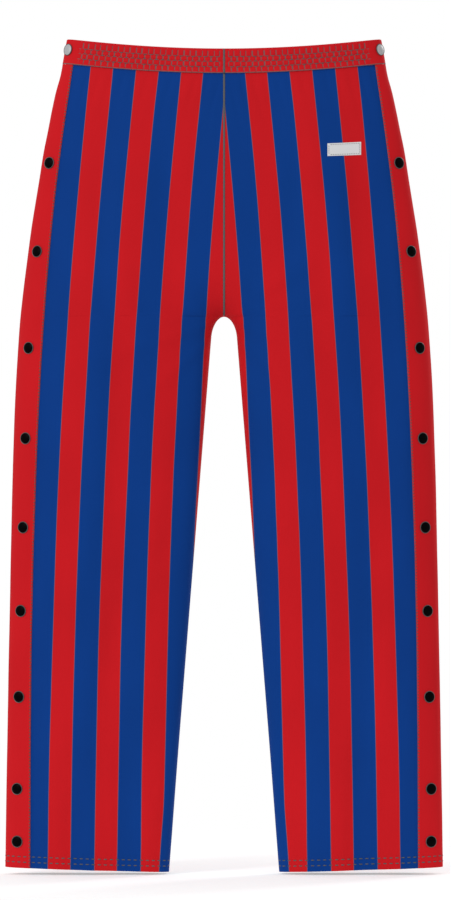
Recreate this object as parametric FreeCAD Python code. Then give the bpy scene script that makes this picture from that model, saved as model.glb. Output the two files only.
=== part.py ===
import FreeCAD, Part
import math, os

# Side-snap hockey pants hanging from the waist. Millimetres, +Z up, the front faces -Y,
# the wearer's left leg is on +X. Origin: centre of the waist opening, at the height of
# the waistband's highest points.

V = FreeCAD.Vector

# ---------------------------------------------------------------- driving dimensions
OUTSEAM = 1060.5          # waistband top to hem at the side
Z_CROTCH = -355.5         # top of the arch between the legs
WAIST_DIP = 13.4          # how much lower the waistband is at the centre than at the sides
HEM_DROP = 6.4            # how much lower the hem is at the inseam than at the side
BAND_H = 31.5             # waistband height
Z_FLAP = -298.3           # fold line of the front flap
Y_FLAP = -45.5
Z_LEG_SPLIT = -463.0      # lowest point that stays sewn to the hips at the back
GAP = 0.9                 # clearance between pieces that move apart
T_PANEL = 1.4             # knit panel
T_PLACKET = 2.0           # two plies of tape-backed knit
T_HEM = 2.6               # turned-up hem
HEM_H = 20.0
T_BAND = 1.2              # one ply of the waistband casing
OFF_LAP = 0.25            # inner face of the front placket, above the panel surface
OFF_UNDER = -1.85         # outer face of the underlap, below the panel surface
Q_FREE = -4.0             # free edge of the front placket, just behind the side line
Q_BACK = -9.0             # edge of the back panel
Q_SEWN = -16.0            # sewn edge of the underlap beneath the back panel
LAP = 6.0                 # front panel under the front placket
LAP_DROP = 0.5           # how far that lap is pressed down
UNDER_IN = 11.0           # underlap's front edge, back from the placket's sewn line
ARCH_R = 14.3
ARCH_H = 26.0
INSEAM_SLOPE = 0.0798
CROTCH_U = 85.0           # how far the cloth takes to round over at the crotch
LEG_U = 150.0             # length over which each leg becomes its own oval
SADDLE = 190.0            # height over which the two legs become one body
POWER = 2.5               # roundness of a section
SNAP_R = 7.8
SNAP_Z = [-158.6, -272.5, -395.9, -511.4, -625.3, -732.1, -842.1, -959.8, -1027.0]
SNAP_X = [222.6, 238.0, 248.8, 252.8, 256.1, 259.2, 261.6, 264.0, 264.0]
WAIST_SNAP_Z = -13.5
WAIST_SNAP_X = 198.3
N_HIP_SNAPS = 2           # snaps on the front flap, the rest are on the legs
N_UPPER_STUDS = 3         # studs on the hip part of the underlap

# half-width of the outline, half-width to the placket's sewn line, half-depth
OUTLINE = [(0, 201.3), (-28, 206.5), (-47, 209.9), (-66, 215.2), (-92, 220.9), (-118, 226.0),
           (-143, 231.2), (-182, 237.4), (-207, 241.4), (-246, 247.6), (-284, 252.7),
           (-323, 257.6), (-361, 261.6), (-399, 264.4), (-438, 266.8), (-476, 268.6),
           (-515, 269.9), (-591, 272.1), (-655, 273.4), (-719, 274.7), (-783, 276.0),
           (-847, 277.2), (-911, 278.3), (-975, 279.4), (-1027, 280.2), (-1061, 280.7)]
SEWN = [(0, 189.0), (-47, 195.3), (-92, 202.0), (-143, 209.0), (-207, 216.8), (-284, 224.1),
        (-361, 230.1), (-438, 234.9), (-515, 238.6), (-591, 241.3), (-655, 243.5),
        (-719, 245.0), (-783, 246.3), (-847, 247.0), (-911, 247.6), (-975, 247.8), (-1061, 248.2)]
DEPTH = [(0, 34.0), (-45, 36.0), (-160, 41.0), (-250, 43.3), (-355, 44.0), (-450, 42.0),
         (-600, 38.0), (-800, 32.0), (-1061, 26.0)]
PLY = T_PLACKET + 0.1     # the outline is the outside of the placket


def pchip(tab):
    xs = [-p[0] for p in tab]
    ys = [float(p[1]) for p in tab]
    n = len(xs)
    h = [xs[i + 1] - xs[i] for i in range(n - 1)]
    d = [(ys[i + 1] - ys[i]) / h[i] for i in range(n - 1)]
    m = [d[0]] + [0.0] * (n - 2) + [d[-1]]
    for i in range(1, n - 1):
        if d[i - 1] * d[i] > 0:
            w1, w2 = 2 * h[i] + h[i - 1], h[i] + 2 * h[i - 1]
            m[i] = (w1 + w2) / (w1 / d[i - 1] + w2 / d[i])

    def f(z):
        x = min(max(-z, xs[0]), xs[-1])
        i = 0
        while i < n - 2 and x > xs[i + 1]:
            i += 1
        t = (x - xs[i]) / h[i]
        return ((1 + 2 * t) * (1 - t) ** 2 * ys[i] + t * (1 - t) ** 2 * h[i] * m[i]
                + t * t * (3 - 2 * t) * ys[i + 1] + t * t * (t - 1) * h[i] * m[i + 1])
    return f


f_out, f_sewn, f_depth = pchip(OUTLINE), pchip(SEWN), pchip(DEPTH)


def smooth(a, b, x):
    t = min(max((x - a) / (b - a), 0.0), 1.0)
    return t * t * (3 - 2 * t)


def half_width(s):
    return f_out(s) - PLY


def x_in(s):
    d = Z_CROTCH - s
    if d <= 0:
        return 0.0
    k = min(d / ARCH_H, 1.0)
    return ARCH_R * math.sqrt(max(0.0, 1 - (1 - k) ** 2)) + INSEAM_SLOPE * d


def inseam_gap(x, s):
    """Distance in the front view from a point to the arch and the inseam."""
    if s < Z_CROTCH - 200:
        return (x - x_in(s)) * 0.9968
    best = 1e9
    for k in range(len(INSEAM) - 1):
        (ax, az), (bx, bz) = INSEAM[k], INSEAM[k + 1]
        dx, dz = bx - ax, bz - az
        t = min(max(((x - ax) * dx + (s - az) * dz) / (dx * dx + dz * dz), 0.0), 1.0)
        best = min(best, (x - ax - t * dx) ** 2 + (s - az - t * dz) ** 2)
    return math.sqrt(best)


def x_easy(s):
    """The inseam without the tight arch, so that the rest of the cloth doesn't feel it."""
    d = max(Z_CROTCH - s, 0.0)
    return INSEAM_SLOPE * d + ARCH_R * smooth(0.0, 120.0, d)


INSEAM = [(x_in(z), z) for z in [Z_CROTCH - ARCH_H * (1 - math.cos(math.radians(5 * k))) for k in range(19)]
          + [Z_CROTCH - ARCH_H - 300.0]]


def crown(u):
    u = min(max(u, 0.0), 1.0)
    return max(0.0, 1 - (1 - u) ** POWER) ** (1 / POWER)


_cache = {}


def section(s):
    """Front half of one level's outline, from the side line to the inner edge: (q, x, y)."""
    key = round(s, 4)
    if key in _cache:
        return _cache[key]
    w, b, xi = half_width(s), f_depth(s), x_in(s)
    xm, a = 0.5 * (w + xi), 0.5 * (w - xi)
    if s > Z_CROTCH:
        outer = a + (w - a) * smooth(0.0, SADDLE, s - Z_CROTCH)       # one body above, two legs below
        inner = CROTCH_U
    else:
        outer = 0.5 * (w - x_easy(s))
        inner = CROTCH_U + (outer - CROTCH_U) * smooth(0.0, LEG_U, Z_CROTCH - s)
    closed = s < Z_CROTCH + CROTCH_U
    n = 480
    pts = []
    for i in range(n + 1):
        c = math.cos(math.pi * i / n)
        x = xm + a * math.copysign(abs(c) ** (2 / POWER), c)
        y = crown((w - x) / outer)
        if closed:
            y *= crown(inseam_gap(x, s) / inner) if 0 < i < n or s > Z_CROTCH else 0.0
        pts.append((x, -b * y))
    out, q = [(0.0,) + pts[0]], 0.0
    for p, r in zip(pts, pts[1:]):
        q += math.hypot(r[0] - p[0], r[1] - p[1])
        out.append((q, r[0], r[1]))
    _cache[key] = out
    return out


def length(s):
    return section(s)[-1][0]


def base(s, q):
    sec = section(s)
    lo, hi = 0, len(sec) - 1
    while hi - lo > 1:
        mid = (lo + hi) // 2
        if sec[mid][0] <= q:
            lo = mid
        else:
            hi = mid
    a, b = sec[lo], sec[hi]
    t = (q - a[0]) / max(b[0] - a[0], 1e-9)
    return a[1] + t * (b[1] - a[1]), a[2] + t * (b[2] - a[2])


def flat_pt(s, q):
    """q > 0 runs forward from the side line, q < 0 backward."""
    ln = length(s)
    if q < 0:
        x, y = flat_pt(s, -q)
        return x, -y
    if q > ln:
        x, y = base(s, 2 * ln - q)
        return (-x, y) if s > Z_CROTCH else (x, -y)
    return base(s, q)


def out_dir(s, q, h=1.2):
    a, b = flat_pt(s, q - h), flat_pt(s, q + h)
    tx, ty = b[0] - a[0], b[1] - a[1]
    ln = math.hypot(tx, ty)
    return -ty / ln, tx / ln


def rise(s, x):
    """How far a level is carried down by the waist dip and the hem slope."""
    z = 0.0
    if s > -300:
        k = min(max(x / half_width(s), 0.0), 1.0)
        z -= WAIST_DIP * (1 - k * k) * smooth(-290, -31.5, s)
    if s < -900:
        xo, xi = half_width(s), x_in(s)
        k = min(max((x - xi) / (xo - xi), 0.0), 1.0)
        z -= HEM_DROP * (1 - k) * smooth(-900, -OUTSEAM, s)
    return z


def point(s, q, off):
    x, y = flat_pt(s, q)
    nx, ny = out_dir(s, q)
    px = x + nx * off
    py = y + ny * off
    return V(max(px, 0.1), py, s + rise(s, x))


def q_of_x(s, x):
    """Arc position on the front where the surface has the given x."""
    sec = section(s)
    for a, b in zip(sec, sec[1:]):
        if b[1] <= x <= a[1]:
            t = (a[1] - x) / max(a[1] - b[1], 1e-9)
            return a[0] + t * (b[0] - a[0])
    return sec[-1][0]


def q_sewn(s):
    return q_of_x(s, f_sewn(s))


# ---------------------------------------------------------------- solids from grids
def knots(n, deg):
    k = n - deg + 1
    if k == 2:
        return [deg + 1, deg + 1], [0.0, 1.0]
    return [deg + 1] + [1] * (k - 2) + [deg + 1], [float(i) for i in range(k)]


def surf(grid):
    du, dv = min(2, len(grid) - 1), 2
    mu, ku = knots(len(grid), du)
    mv, kv = knots(len(grid[0]), dv)
    b = Part.BSplineSurface()
    b.buildFromPolesMultsKnots(grid, mu, mv, ku, kv, False, False, du, dv)
    return b


def column(j, cols):
    """Columns crowd towards both ends, where a section curves most."""
    f = j / (cols - 1.0)
    return 0.35 * f + 0.65 * (0.5 - 0.5 * math.cos(math.pi * f))


def skin(outer, inner):
    """Closed solid between two point grids with the same rows and columns."""
    faces = [surf(outer).toShape(), surf(inner).toShape()]
    for k in (0, -1):
        faces.append(surf([outer[k], inner[k]]).toShape())
        faces.append(surf([[r[k] for r in outer], [r[k] for r in inner]]).toShape())
    shell = Part.makeShell(faces)
    shell.sewShape()
    if shell.ShapeType != "Shell":
        shell = shell.Shells[0]
    solid = Part.Solid(shell)
    if solid.Volume < 0:
        solid.reverse()
    if not solid.isValid():
        solid.fix(0.01, 0.01, 0.01)
    return solid


def cloth(levels, q0, q1, cols, off_out, off_in, both=False):
    """levels: list of s or functions of the column fraction."""
    outer, inner = [], []
    for s in levels:
        ro, ri = [], []
        for j in range(cols):
            f = column(j, cols)
            ss = s(f) if callable(s) else s
            q = q0(ss) + (q1(ss) - q0(ss)) * f
            ro.append(point(ss, q, off_out(ss, q)))
            ri.append(point(ss, q, off_in(ss, q)))
        if both:
            ro = ro[:-1] + [V(0, ro[-1].y, ro[-1].z)] + [V(-p.x, p.y, p.z) for p in reversed(ro[:-1])]
            ri = ri[:-1] + [V(0, ri[-1].y, ri[-1].z)] + [V(-p.x, p.y, p.z) for p in reversed(ri[:-1])]
        outer.append(ro)
        inner.append(ri)
    return skin(outer, inner)


def const(v):
    return lambda *a: v


def panel(levels, q0, q1, cols, thick, seam_last, press=lambda s, q: 0.0):
    """Knit panel whose inner face follows the true surface normal, so the crotch stays closed.
    seam_last tells which end column is the centre seam and inseam."""
    outer, lv = [], []
    for s in levels:
        row_pts, row_s = [], []
        for j in range(cols):
            f = column(j, cols)
            ss = s(f) if callable(s) else s
            q = q0(ss) + (q1(ss) - q0(ss)) * f
            row_pts.append(point(ss, q, press(ss, q)))
            row_s.append(ss)
        outer.append(row_pts)
        lv.append(row_s)
    n, m = len(outer), cols
    inner = []
    seam = m - 1 if seam_last else 0
    for i in range(n):
        ri = []
        for j in range(m):
            a, b = outer[max(i - 1, 0)][j], outer[min(i + 1, n - 1)][j]
            c, d = outer[i][max(j - 1, 0)], outer[i][min(j + 1, m - 1)]
            nv = (b - a).cross(d - c)
            s = lv[i][j]
            if j == seam:
                if s > Z_CROTCH + 1e-6:
                    nv = V(0, nv.y, nv.z)
                elif s < Z_CROTCH - 1e-6:
                    nv = V(nv.x, 0, nv.z)
                else:
                    nv = V(0, 0, 1)
            if nv.Length < 1e-9:
                nv = V(0, 0, 1)
            nv.normalize()
            x, y = out_dir(s, q0(s) + (q1(s) - q0(s)) * column(j, cols), 3.0)
            ref = V(x, y, -0.3)
            if nv.dot(ref) < 0:
                nv = nv * -1.0
            p = outer[i][j] - nv * thick(s)
            ri.append(V(max(p.x, 0.1), p.y, p.z))
        inner.append(ri)
    inner[0] = [V(p.x, p.y, o.z) for p, o in zip(inner[0], outer[0])]
    inner[-1] = [V(p.x, p.y, o.z) for p, o in zip(inner[-1], outer[-1])]
    return skin(outer, inner)


def mirrored(shape):
    m = shape.mirror(V(0, 0, 0), V(1, 0, 0))
    sol = []
    for s in m.Solids:
        if s.Volume < 0:
            s.reverse()
        sol.append(s)
    return sol[0] if len(sol) == 1 else Part.makeCompound(sol)


def lin(a, b, n):
    return [a + (b - a) * i / (n - 1.0) for i in range(n)]


def ply(s):
    return T_PANEL + (T_HEM - T_PANEL) * smooth(-OUTSEAM + HEM_H + 5, -OUTSEAM + HEM_H - 1, s)


# levels of the hip, crotch and leg parts
def crotch_levels(top):
    k = 1 - (top - Z_CROTCH) / CROTCH_U
    p0 = math.acos(min(max(k, -1.0), 1.0))
    ls = [Z_CROTCH + CROTCH_U * (1 - math.cos(p0 * i / 7.0)) for i in range(7, 0, -1)]
    ls[0] = top
    ls.append(Z_CROTCH)
    for deg in (10, 22, 36, 52, 70, 90):
        ls.append(Z_CROTCH - ARCH_H * (1 - math.cos(math.radians(deg))))
    return ls


bottom = -OUTSEAM
hem_rows = [bottom + HEM_H + 6, bottom + HEM_H, bottom + HEM_H - 6, bottom + 6, bottom]


def tuck(side):
    # the panel's top edge stands inside the casing, and passes below the flat tab at the side
    def f(fr):
        k = fr if side < 0 else 1 - fr
        return -28.0 - 3.8 * smooth(0.74, 0.90, k)
    return f


def leaning(top, nxt):
    return lambda fr, a=top, b=nxt: a(fr) + b


front_hip_levels = [tuck(1)] + [-42.0, -60.0, -85.0, -115.0, -150.0, -190.0, -230.0, -262.0, -282.0,
                                Z_FLAP + GAP / 2]
hip_low = Z_FLAP - GAP / 2
leg_levels_front = crotch_levels(hip_low) + [-392.0, -410.0, -435.0] + lin(-470.0, -1000.0, 14) + hem_rows

pressed = lambda s, q: -LAP_DROP * (1 - smooth(q_sewn(s), q_sewn(s) + 8.0, q))
front_panel_hip = panel(front_hip_levels, lambda s: q_sewn(s) - LAP, length, 27, ply, True, pressed)
front_panel_leg = panel(leg_levels_front, lambda s: q_sewn(s) - LAP, length, 27, ply, True, pressed)

placket_hip_levels = [-31.95, -45.0, -60.0, -85.0, -115.0, -150.0, -190.0, -230.0, -265.0, Z_FLAP + GAP / 2]
placket_leg_levels = [hip_low] + lin(-330.0, -1030.0, 15) + [bottom + 10, bottom]
front_placket_hip = cloth(placket_hip_levels, const(Q_FREE), q_sewn, 15, const(OFF_LAP + T_PLACKET), const(OFF_LAP))
front_placket_leg = cloth(placket_leg_levels, const(Q_FREE), q_sewn, 15, const(OFF_LAP + T_PLACKET), const(OFF_LAP))

back_hip_levels = [tuck(-1)] + [-42.0, -60.0, -85.0, -115.0, -150.0, -190.0, -230.0, -262.0, -282.0]
back_hip_levels += crotch_levels(-298.0) + [-392.0, -410.0, -435.0, Z_LEG_SPLIT + GAP / 2]
leg_top = Z_LEG_SPLIT - GAP / 2
back_leg_levels = [leg_top] + lin(-500.0, -1000.0, 11) + hem_rows
seam_gap = lambda s: 0.6 * smooth(Z_CROTCH + 30.0, Z_CROTCH, s)    # between front and back at the inseam
back_panel_hip = panel(back_hip_levels, lambda s: -length(s) + seam_gap(s), const(Q_BACK), 27, ply, False)
back_panel_leg = panel(back_leg_levels, lambda s: -length(s) + 1.2, const(Q_BACK), 27, ply, False)

under_out = lambda s, q: OFF_UNDER - (ply(s) - T_PANEL)
under_in = lambda s, q: under_out(s, q) - T_PLACKET
under_q = lambda s: min(q_sewn(s) - UNDER_IN, 36.0)
back_placket_hip = cloth([-32.0, -45.0, -60.0, -85.0, -115.0] + lin(-150.0, -430.0, 8)
                         + [Z_LEG_SPLIT + GAP / 2], const(Q_SEWN), under_q, 15, under_out, under_in)
back_placket_leg = cloth([leg_top] + lin(-500.0, -1000.0, 11) + hem_rows,
                         const(Q_SEWN), under_q, 15, under_out, under_in)


# ---------------------------------------------------------------- waistband: folded casing
def casing(q_a, q_b, profile, cols):
    """A ply folded over at the top. profile(q) gives outer offset, inner offset and ply."""
    outer, inner = [], []
    steps = [("o", k) for k in (0, 0.25, 0.5, 0.75)] + [("f", k) for k in lin(0, 180, 9)] \
        + [("i", k) for k in (0.75, 0.5, 0.25, 0)]
    for kind, k in steps:
        ro, ri = [], []
        for j in range(cols):
            f = j / (cols - 1.0)
            s_ref = -15.0
            q = q_a(s_ref) + (q_b(s_ref) - q_a(s_ref)) * f
            oo, oi, th = profile(q)
            r = 0.5 * (oo - oi)
            mid = 0.5 * (oo + oi)
            for row, rr in ((ro, r), (ri, r - th)):
                if kind == "o":
                    s, off = -BAND_H + (BAND_H - r) * k, mid + rr
                elif kind == "i":
                    s, off = -BAND_H + (BAND_H - r) * k, mid - rr
                else:
                    a = math.radians(k)
                    s, off = -r + rr * math.sin(a), mid + rr * math.cos(a)
                # keep the column at one fraction of the level's own arc
                q_lv = q_a(s) + (q_b(s) - q_a(s)) * f
                row.append(point(s, q_lv, off))
        outer.append(ro)
        inner.append(ri)
    return skin(outer, inner)


def front_profile(q):
    k = smooth(q_sewn(-15.0) - 1.0, q_sewn(-15.0) + 16.0, q)      # 1 in the casing, 0 in the tab
    return 2.2 + (1.5 - 2.2) * k, 0.1 + (-3.6 - 0.1) * k, 0.85 + (T_BAND - 0.85) * k


def back_profile(q):
    k = smooth(-14.0, -30.0, q)
    return -1.75 + (1.5 + 1.75) * k, -3.85 + (-3.6 + 3.85) * k, 0.85 + (T_BAND - 0.85) * k


front_band = casing(const(Q_FREE), length, front_profile, 33)
back_band = casing(lambda s: -length(s), lambda s: q_sewn(s) - 4.5, back_profile, 33)

E_TOP, E_LOW = -4.6, -26.5
front_elastic = cloth(lin(E_TOP, E_LOW, 4), lambda s: q_sewn(s) + 20.0, length, 17,
                      const(-0.1), const(-2.0), both=True)
back_elastic = cloth(lin(E_TOP, E_LOW, 4), const(-34.0), lambda s: -length(s), 17,
                     const(-0.1), const(-2.0), both=True)

# ---------------------------------------------------------------- labels
LABEL_X, LABEL_Z, LABEL_W, LABEL_H = 153.5, -139.5, 43.5, 17.0
lab_s = [LABEL_Z + LABEL_H / 2 + 2.2, LABEL_Z + 2.2, LABEL_Z - LABEL_H / 2 + 2.2]
hip_label = cloth(lab_s, lambda s: q_of_x(s, LABEL_X + LABEL_W / 2), lambda s: q_of_x(s, LABEL_X - LABEL_W / 2),
                  6, const(1.05), const(0.4))
care_label = cloth([-36.0, -55.0, -75.0, -90.0], lambda s: -length(s) + 18.0, lambda s: -length(s), 4,
                   const(-T_PANEL - 0.6), const(-T_PANEL - 1.05), both=True)


# ---------------------------------------------------------------- snaps
def turned(profile):
    pts = [V(r, 0, z) for r, z in profile]
    wire = Part.makePolygon(pts + [pts[0]])
    return Part.Face(wire).revolve(V(0, 0, 0), V(0, 0, 1), 360)


R = SNAP_R
CAP = turned([(0, 0.2), (1.7, 0.2), (1.7, 2.3), (R - 0.6, 2.3), (R, 2.7), (R, 3.1), (R - 0.5, 3.5),
              (R - 1.1, 3.5), (R - 1.4, 3.3), (R - 2.4, 3.8), (R - 4.2, 4.3), (1.5, 4.55), (0, 4.6)])
SOCKET = turned([(0, -0.1), (2.7, -0.1), (2.7, -1.1), (5.0, -1.1), (5.5, -0.7), (5.5, -0.1), (5.2, 0.2),
                 (0, 0.2)])
STUD = turned([(0, -3.9), (1.5, -3.9), (1.5, -1.85), (4.6, -1.85), (4.8, -1.6), (1.9, -1.6), (1.9, -0.9),
               (1.7, -0.65), (0, -0.65)])
RING = turned([(2.0, -3.85), (5.0, -3.85), (5.2, -4.15), (4.9, -4.65), (2.0, -4.65)])


def placed(proto, z, x):
    s = z
    q = q_of_x(s, x)
    px, py = flat_pt(s, q)
    nx, ny = out_dir(s, q, 3.0)
    n = (point(s + 3, q, 0) - point(s - 3, q, 0)).cross(point(s, q + 3, 0) - point(s, q - 3, 0))
    if n.dot(V(nx, ny, 0)) < 0:
        n = n * -1.0
    n.normalize()                                                # square to the leaning cloth
    rot = FreeCAD.Rotation(V(0, 0, 1), n)
    c = proto.copy()
    c.Placement = FreeCAD.Placement(V(px, py, s + rise(s, px)), rot)
    return c


def row(proto, items):
    sol = [placed(proto, z, x) for z, x in items]
    return sol[0] if len(sol) == 1 else Part.makeCompound(sol)


snaps = list(zip(SNAP_Z, SNAP_X))
waist = [(WAIST_SNAP_Z, WAIST_SNAP_X)]

pairs = {
    "front_panel_%s_hip": front_panel_hip, "front_panel_%s_leg": front_panel_leg,
    "front_placket_%s_hip": front_placket_hip, "front_placket_%s_leg": front_placket_leg,
    "back_panel_%s_hip": back_panel_hip, "back_panel_%s_leg": back_panel_leg,
    "back_placket_%s_hip": back_placket_hip, "back_placket_%s_leg": back_placket_leg,
    "front_waistband_%s": front_band, "back_waistband_%s": back_band,
    "hip_snap_caps_%s": row(CAP, snaps[:N_HIP_SNAPS]),
    "hip_snap_sockets_%s": row(SOCKET, snaps[:N_HIP_SNAPS]),
    "hip_snap_studs_%s": row(STUD, snaps[:N_UPPER_STUDS]),
    "hip_snap_rings_%s": row(RING, snaps[:N_UPPER_STUDS]),
    "leg_snap_caps_%s": row(CAP, snaps[N_HIP_SNAPS:]),
    "leg_snap_sockets_%s": row(SOCKET, snaps[N_HIP_SNAPS:]),
    "leg_snap_studs_%s": row(STUD, snaps[N_UPPER_STUDS:]),
    "leg_snap_rings_%s": row(RING, snaps[N_UPPER_STUDS:]),
    "waist_snap_cap_%s": row(CAP, waist), "waist_snap_socket_%s": row(SOCKET, waist),
    "waist_snap_stud_%s": row(STUD, waist), "waist_snap_ring_%s": row(RING, waist),
}

nodes = {"front_elastic": front_elastic, "back_elastic": back_elastic,
         "hip_label": hip_label, "care_label": care_label}
for pattern, shape in pairs.items():
    nodes[pattern % "left"] = shape
    nodes[pattern % "right"] = mirrored(shape)

os.makedirs("parts", exist_ok=True)
for name, shape in nodes.items():
    bb = shape.BoundBox
    print("%-26s valid=%s solids=%d vol=%.0f mm3  x %.1f..%.1f y %.1f..%.1f z %.1f..%.1f" % (
        name, shape.isValid(), len(shape.Solids), shape.Volume,
        bb.XMin, bb.XMax, bb.YMin, bb.YMax, bb.ZMin, bb.ZMax))
    shape.exportStep("parts/" + name + ".step")
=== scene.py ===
import bpy
import math
import numpy as np
from mathutils import Vector, Matrix


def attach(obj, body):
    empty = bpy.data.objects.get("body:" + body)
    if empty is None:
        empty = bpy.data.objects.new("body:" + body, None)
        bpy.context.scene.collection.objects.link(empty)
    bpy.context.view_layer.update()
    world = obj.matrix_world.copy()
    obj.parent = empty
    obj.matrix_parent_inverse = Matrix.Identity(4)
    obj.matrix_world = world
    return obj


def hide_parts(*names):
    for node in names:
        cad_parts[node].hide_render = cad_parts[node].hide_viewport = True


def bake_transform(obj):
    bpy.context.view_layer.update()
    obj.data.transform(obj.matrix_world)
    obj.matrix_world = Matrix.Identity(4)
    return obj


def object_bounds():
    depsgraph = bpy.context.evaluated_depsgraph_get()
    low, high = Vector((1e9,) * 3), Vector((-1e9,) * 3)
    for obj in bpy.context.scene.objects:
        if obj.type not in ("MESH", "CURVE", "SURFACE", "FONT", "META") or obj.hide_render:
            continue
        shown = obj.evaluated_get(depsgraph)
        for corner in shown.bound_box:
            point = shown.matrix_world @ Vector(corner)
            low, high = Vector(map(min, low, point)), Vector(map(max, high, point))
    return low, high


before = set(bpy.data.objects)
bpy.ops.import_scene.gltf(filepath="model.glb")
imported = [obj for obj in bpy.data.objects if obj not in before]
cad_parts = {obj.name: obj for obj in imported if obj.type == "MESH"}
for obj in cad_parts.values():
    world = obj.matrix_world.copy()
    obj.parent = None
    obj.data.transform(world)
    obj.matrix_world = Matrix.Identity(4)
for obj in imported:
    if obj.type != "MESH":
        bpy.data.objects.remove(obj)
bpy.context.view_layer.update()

# ------------------------------------------------------------------ sizes, in millimetres
OUTSEAM, Z_CROTCH = 1060.5, -355.5
WAIST_DIP, HEM_DROP, BAND_H = 13.4, 6.4, 31.5
T_PANEL, T_PLACKET, T_HEM, HEM_H, T_BAND = 1.4, 2.0, 2.6, 20.0, 1.2
OFF_UNDER, Q_FREE, Q_BACK, Q_SEWN, LAP, UNDER_IN = -1.85, -4.0, -9.0, -16.0, 6.0, 11.0
ARCH_R, ARCH_H, INSEAM_SLOPE, CROTCH_U, LEG_U, SADDLE, POWER = 14.3, 26.0, 0.0798, 85.0, 150.0, 190.0, 2.5
SNAP_Z = [-158.6, -272.5, -395.9, -511.4, -625.3, -732.1, -842.1, -959.8, -1027.0]
SNAP_X = [222.6, 238.0, 248.8, 252.8, 256.1, 259.2, 261.6, 264.0, 264.0]
WAIST_SNAP = (-13.5, 198.3)
LABEL_X, LABEL_Z, LABEL_W, LABEL_H = 153.5, -139.5, 43.5, 17.0
OUTLINE = [(0, 201.3), (-28, 206.5), (-47, 209.9), (-66, 215.2), (-92, 220.9), (-118, 226.0),
           (-143, 231.2), (-182, 237.4), (-207, 241.4), (-246, 247.6), (-284, 252.7),
           (-323, 257.6), (-361, 261.6), (-399, 264.4), (-438, 266.8), (-476, 268.6),
           (-515, 269.9), (-591, 272.1), (-655, 273.4), (-719, 274.7), (-783, 276.0),
           (-847, 277.2), (-911, 278.3), (-975, 279.4), (-1027, 280.2), (-1061, 280.7)]
SEWN = [(0, 189.0), (-47, 195.3), (-92, 202.0), (-143, 209.0), (-207, 216.8), (-284, 224.1),
        (-361, 230.1), (-438, 234.9), (-515, 238.6), (-591, 241.3), (-655, 243.5),
        (-719, 245.0), (-783, 246.3), (-847, 247.0), (-911, 247.6), (-975, 247.8), (-1061, 248.2)]
DEPTH = [(0, 34.0), (-45, 36.0), (-160, 41.0), (-250, 43.3), (-355, 44.0), (-450, 42.0),
         (-600, 38.0), (-800, 32.0), (-1061, 26.0)]
PLY = T_PLACKET + 0.1
# where each printed stripe's edge lies across the panel, from the placket inwards
STRIPES = [
    (-20, [169.4, 140.8, 111.4, 82.2, 53.8, 25.6, -3.1]),
    (-47, [172.3, 143.5, 114.0, 85.2, 56.4, 28.3, -1.0]),
    (-79, [175.8, 146.7, 117.1, 88.8, 59.5, 31.5, 1.5]),
    (-143, [181.9, 152.9, 123.0, 94.8, 65.4, 37.6, 7.0]),
    (-207, [187.5, 158.6, 128.7, 100.3, 70.9, 42.8, 12.3]),
    (-284, [193.8, 164.7, 134.8, 106.3, 76.8, 48.2, 18.3]),
    (-348, [198.4, 169.8, 139.2, 111.0, 81.3, 52.5, 22.7]),
    (-360, [199.2, 170.8, 140.1, 112.0, 82.0, 53.3, 23.6]),
    (-399, [201.7, 173.1, 142.8, 114.5, 84.1, 55.8, 26.2]),
    (-437, [204.3, 175.3, 145.4, 116.9, 86.5, 58.2, 28.3]),
    (-476, [206.7, 177.6, 147.6, 119.3, 88.9, 60.3, 30.0]),
    (-514, [208.8, 179.8, 149.6, 121.1, 91.0, 62.4, 31.8]),
    (-552, [210.7, 181.9, 151.5, 122.7, 92.8, 64.4, 33.9]),
    (-591, [212.5, 183.7, 153.2, 124.6, 94.4, 66.1, 36.0]),
    (-655, [215.0, 186.4, 155.8, 127.5, 97.1, 68.6, 38.8]),
    (-719, [217.2, 188.8, 158.5, 130.0, 99.2, 70.8, 41.1]),
    (-783, [219.3, 190.8, 160.6, 132.1, 100.9, 72.4, 42.8]),
    (-847, [221.2, 192.6, 162.0, 133.4, 102.8, 73.9, 44.3]),
    (-911, [223.0, 194.0, 163.3, 134.5, 104.4, 75.6, 45.6]),
    (-975, [224.2, 195.2, 164.5, 135.7, 105.4, 77.6, 46.9]),
    (-1026, [224.8, 196.0, 165.3, 136.5, 105.9, 81.4, 48.1]),
    (-1060, [225.4, 196.6, 165.9, 137.1, 106.4, 83.6, 48.8])]
RED = (0.5457, 0.0091, 0.0137)
BLUE = (0.0024, 0.0409, 0.2270)
THREAD = (0.086, 0.086, 0.089)
PUCKER = 7.7


# ------------------------------------------------------------------ the garment's surface
def pchip(tab):
    xs = [-float(p[0]) for p in tab]
    ys = [float(p[1]) for p in tab]
    n = len(xs)
    h = [xs[i + 1] - xs[i] for i in range(n - 1)]
    d = [(ys[i + 1] - ys[i]) / h[i] for i in range(n - 1)]
    m = [d[0]] + [0.0] * (n - 2) + [d[-1]]
    for i in range(1, n - 1):
        if d[i - 1] * d[i] > 0:
            w1, w2 = 2 * h[i] + h[i - 1], h[i] + 2 * h[i - 1]
            m[i] = (w1 + w2) / (w1 / d[i - 1] + w2 / d[i])

    def f(z):
        x = min(max(-z, xs[0]), xs[-1])
        i = 0
        while i < n - 2 and x > xs[i + 1]:
            i += 1
        t = (x - xs[i]) / h[i]
        return ((1 + 2 * t) * (1 - t) ** 2 * ys[i] + t * (1 - t) ** 2 * h[i] * m[i]
                + t * t * (3 - 2 * t) * ys[i + 1] + t * t * (t - 1) * h[i] * m[i + 1])
    return f


f_out, f_sewn, f_depth = pchip(OUTLINE), pchip(SEWN), pchip(DEPTH)
f_stripe = [pchip([(z, row[k]) for z, row in STRIPES]) for k in range(7)]


def smooth(a, b, x):
    t = np.clip((np.asarray(x, float) - a) / (b - a), 0.0, 1.0)
    return t * t * (3 - 2 * t)


def half_width(s):
    return f_out(s) - PLY


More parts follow.
